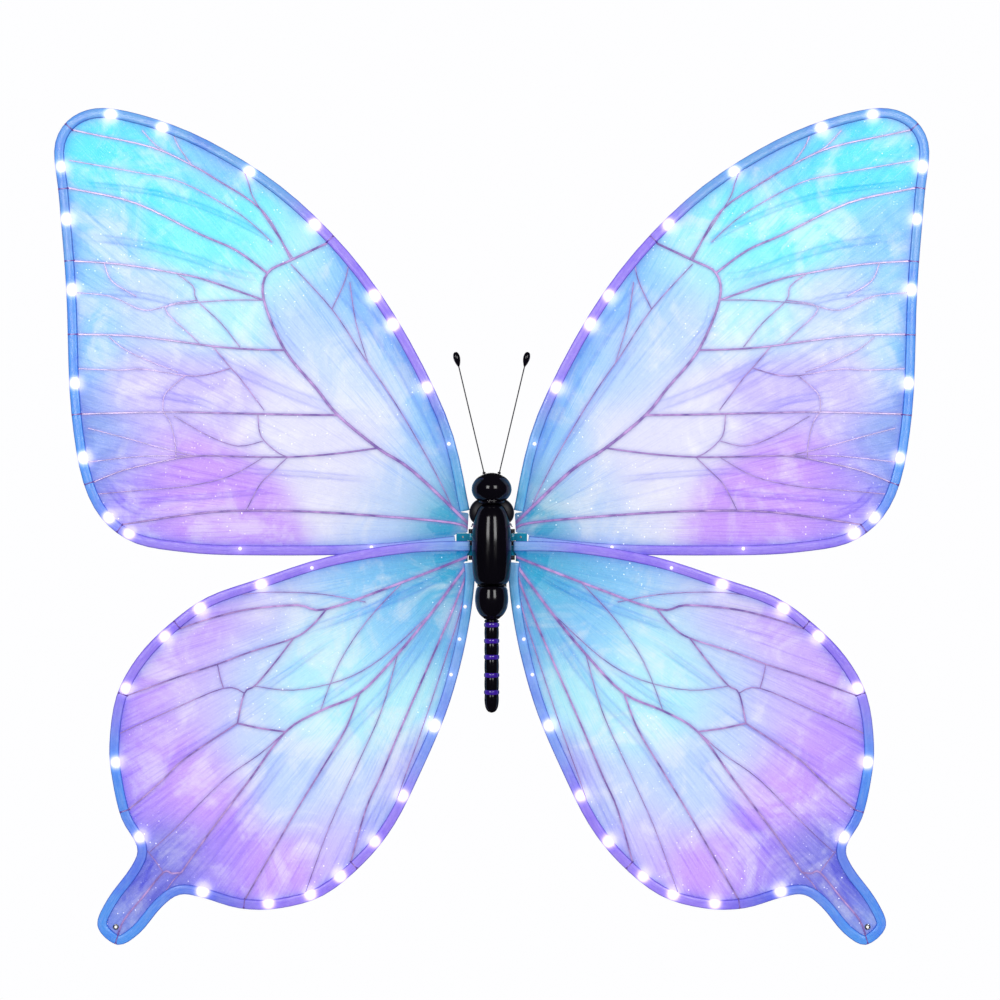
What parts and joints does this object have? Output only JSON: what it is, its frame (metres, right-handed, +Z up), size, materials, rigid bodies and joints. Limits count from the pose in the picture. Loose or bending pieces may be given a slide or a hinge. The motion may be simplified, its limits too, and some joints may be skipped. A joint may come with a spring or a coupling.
{
  "type": "fairy wings",
  "caption": "Wearable butterfly wings: clear printed film with lit edge sleeves, hinged to a glossy insect body with a back pad, shoulder loops and a battery box.",
  "frame": {"origin": "centre of the back pad's face that touches the wearer, level with the wing roots", "axes": "+Z up, +X to the right as seen facing the insect body, +Y from the wings towards the wearer"},
  "size_m": [0.8762, 0.2548, 0.837],
  "materials": {
    "foam": "black knitted cloth over soft foam",
    "black_plastic": "fine-grained black moulded nylon",
    "black_gloss": "polished black moulded plastic",
    "violet_gloss": "deep violet metallic lacquer",
    "steel": "bright steel",
    "antenna_wire": "black lacquered spring wire",
    "elastic": "black woven elastic webbing",
    "cell_jacket": "printed cell jacket",
    "circuit_board": "green circuit board",
    "wire": "soft insulated wire",
    "gusset": "clear teal sheet",
    "fore_film": "crinkled clear film with a cyan to lilac print and glitter",
    "hind_film": "crinkled clear film with a teal to violet print and glitter",
    "edge_sleeve": "clear blue-violet soft sleeve",
    "vein": "glossy purple raised vein",
    "light_string": "warm white light beads on a flat wire"
  },
  "bodies": {
    "hub": {"back_pad": "foam", "harness_plate": "black_plastic", "harness_screws": "steel", "right_strap": "elastic", "left_strap": "elastic", "battery_box": "black_plastic", "door_pin": "steel", "battery_cells": "cell_jacket", "battery_contacts": "steel", "circuit_board": "circuit_board", "chassis": "black_plastic", "chassis_screws": "steel", "thorax_shell": "black_gloss", "collar": "black_gloss", "head": "black_gloss", "abdomen": "black_gloss", "tail": "black_gloss", "tail_bands": "violet_gloss", "right_hinge_pin": "steel", "left_hinge_pin": "steel", "hinge_washers": "steel", "lead_wires": "wire"},
    "battery_door": {"battery_door": "black_plastic"},
    "power_button": {"power_button": "violet_gloss"},
    "right_adjuster": {"right_adjuster": "black_plastic"},
    "right_antenna": {"right_antenna_wire": "antenna_wire", "right_antenna_tip": "black_gloss"},
    "right_wing": {"right_wing_bracket": "black_plastic", "right_wing_rivets": "steel", "right_wing_gussets": "gusset", "right_fore_film": "fore_film", "right_fore_sleeve": "edge_sleeve", "right_fore_spars": "vein", "right_fore_veins": "vein", "right_fore_lights": "light_string", "right_hind_film": "hind_film", "right_hind_sleeve": "edge_sleeve", "right_hind_spars": "vein", "right_hind_veins": "vein", "right_hind_lights": "light_string", "right_tail_eyelet": "steel"},
    "left_adjuster": {"left_adjuster": "black_plastic"},
    "left_antenna": {"left_antenna_wire": "antenna_wire", "left_antenna_tip": "black_gloss"},
    "left_wing": {"left_wing_bracket": "black_plastic", "left_wing_rivets": "steel", "left_wing_gussets": "gusset", "left_fore_film": "fore_film", "left_fore_sleeve": "edge_sleeve", "left_fore_spars": "vein", "left_fore_veins": "vein", "left_fore_lights": "light_string", "left_hind_film": "hind_film", "left_hind_sleeve": "edge_sleeve", "left_hind_spars": "vein", "left_hind_veins": "vein", "left_hind_lights": "light_string", "left_tail_eyelet": "steel"}
  },
  "joints": [
    {"name": "right_wing_fold", "type": "hinge", "parent": "hub", "child": "right_wing", "pos_m": [0.0208, -0.0445, 0], "axis": [0, 0, -1], "range_deg": [-20, 55]},
    {"name": "left_wing_fold", "type": "hinge", "parent": "hub", "child": "left_wing", "pos_m": [-0.0208, -0.0445, 0], "axis": [0, 0, 1], "range_deg": [-20, 55]},
    {"name": "right_antenna_sway", "type": "hinge", "parent": "hub", "child": "right_antenna", "pos_m": [0.0075, -0.063, 0.0664], "axis": [1, 0, 0], "range_deg": [-12, 12], "stiffness_Nm_per_rad": 0.05},
    {"name": "left_antenna_sway", "type": "hinge", "parent": "hub", "child": "left_antenna", "pos_m": [-0.0075, -0.063, 0.0664], "axis": [1, 0, 0], "range_deg": [-12, 12], "stiffness_Nm_per_rad": 0.05},
    {"name": "battery_door_swing", "type": "hinge", "parent": "hub", "child": "battery_door", "pos_m": [0, -0.0135, -0.0462], "axis": [1, 0, 0], "range_deg": [0, 100]},
    {"name": "power_button_press", "type": "slide", "parent": "hub", "child": "power_button", "axis": [-1, 0, 0], "range_m": [0, 0.001], "stiffness_N_per_m": 300},
    {"name": "right_adjuster_slide", "type": "slide", "parent": "hub", "child": "right_adjuster", "axis": [0, 1, 0], "range_m": [-0.024, 0.014]},
    {"name": "left_adjuster_slide", "type": "slide", "parent": "hub", "child": "left_adjuster", "axis": [0, 1, 0], "range_m": [-0.024, 0.014]}
  ]
}
